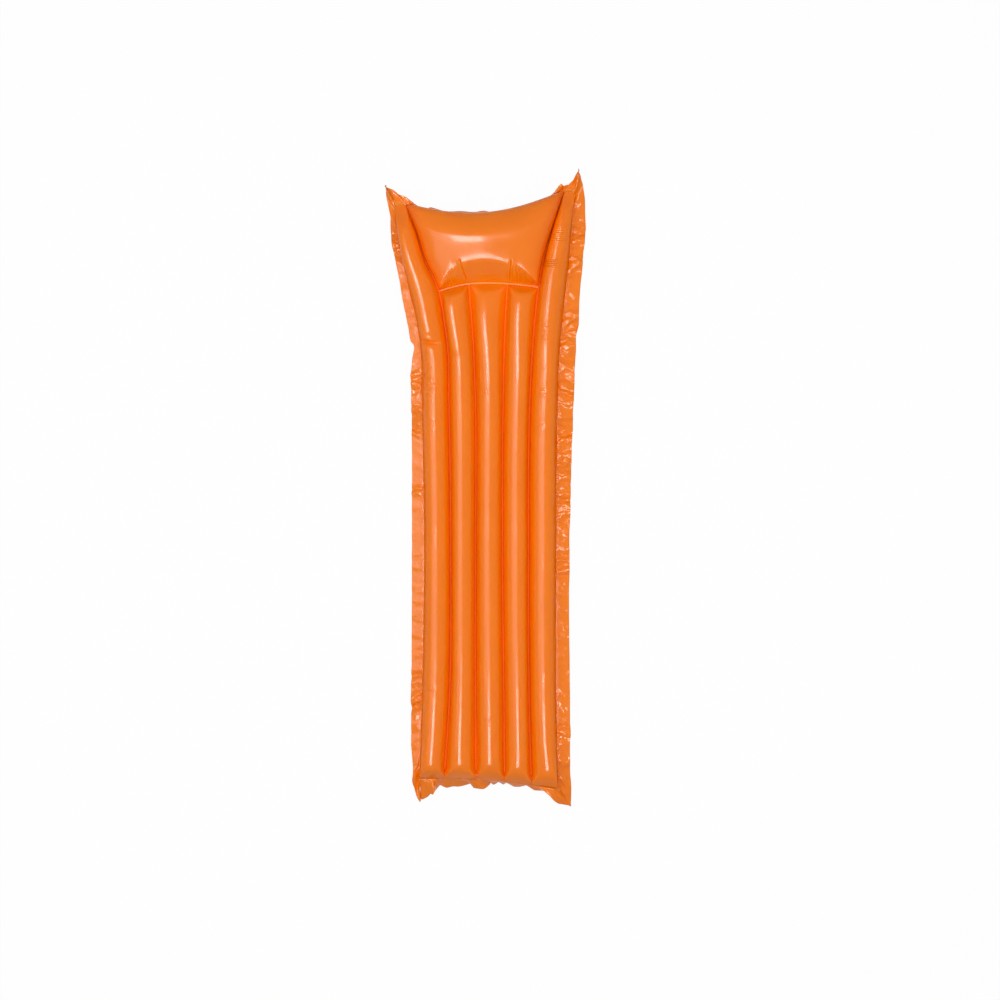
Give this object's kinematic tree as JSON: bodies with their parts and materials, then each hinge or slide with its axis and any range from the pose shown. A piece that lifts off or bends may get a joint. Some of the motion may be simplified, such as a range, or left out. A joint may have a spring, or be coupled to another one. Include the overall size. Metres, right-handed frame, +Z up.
{
  "type": "pool air mattress",
  "caption": "Inflated pool air mattress: lengthwise air tubes, a raised pillow between flaring outer tubes, a flat welded edge all round and push-in valves underneath.",
  "frame": {"origin": "middle of the bounding box, on the floor the mattress lies on", "axes": "+Y from the foot to the pillow, +X to the right seen from above with the pillow at the top, +Z up"},
  "size_m": [0.5658, 1.7896, 0.1388],
  "materials": {
    "orange_film": "satin gloss inflated vinyl film",
    "orange_edge": "glossy double vinyl film, welded",
    "clear_vinyl": "milky clear soft moulded vinyl"
  },
  "bodies": {
    "mattress": {"tube_outer_left": "orange_film", "tube_inner_left": "orange_film", "tube_centre": "orange_film", "tube_inner_right": "orange_film", "tube_outer_right": "orange_film", "pillow": "orange_film", "edge_left": "orange_edge", "edge_right": "orange_edge", "edge_foot": "orange_edge", "edge_head": "orange_edge", "tube_weld_1": "orange_edge", "tube_weld_2": "orange_edge", "tube_weld_3": "orange_edge", "tube_weld_4": "orange_edge", "pillow_weld_foot": "orange_edge", "pillow_weld_left": "orange_edge", "pillow_weld_right": "orange_edge", "body_valve_base": "clear_vinyl", "pillow_valve_base": "clear_vinyl"},
    "body_valve_stem": {"body_valve_stem": "clear_vinyl", "body_valve_tether": "clear_vinyl"},
    "body_valve_plug": {"body_valve_plug": "clear_vinyl"},
    "body_valve_flap": {"body_valve_flap": "clear_vinyl"},
    "pillow_valve_stem": {"pillow_valve_stem": "clear_vinyl", "pillow_valve_tether": "clear_vinyl"},
    "pillow_valve_plug": {"pillow_valve_plug": "clear_vinyl"},
    "pillow_valve_flap": {"pillow_valve_flap": "clear_vinyl"}
  },
  "joints": [
    {"name": "body_stem_slide", "type": "slide", "parent": "mattress", "child": "body_valve_stem", "axis": [0, 0.1045, -0.9945], "range_m": [0, 0.01]},
    {"name": "body_plug_pull", "type": "slide", "parent": "body_valve_stem", "child": "body_valve_plug", "axis": [0, 0.1045, -0.9945], "range_m": [0, 0.0078]},
    {"name": "body_flap_swing", "type": "hinge", "parent": "body_valve_stem", "child": "body_valve_flap", "pos_m": [0.01241, 0.48933, 0.05599], "axis": [1, 0, 0], "range_deg": [0, 60], "stiffness_Nm_per_rad": 0.00002},
    {"name": "pillow_stem_slide", "type": "slide", "parent": "mattress", "child": "pillow_valve_stem", "axis": [0, 0.342, -0.9397], "range_m": [0, 0.01]},
    {"name": "pillow_plug_pull", "type": "slide", "parent": "pillow_valve_stem", "child": "pillow_valve_plug", "axis": [0, 0.342, -0.9397], "range_m": [0, 0.0078]},
    {"name": "pillow_flap_swing", "type": "hinge", "parent": "pillow_valve_stem", "child": "pillow_valve_flap", "pos_m": [0.08641, 0.70644, 0.01906], "axis": [1, 0, 0], "range_deg": [0, 60], "stiffness_Nm_per_rad": 0.00002}
  ]
}
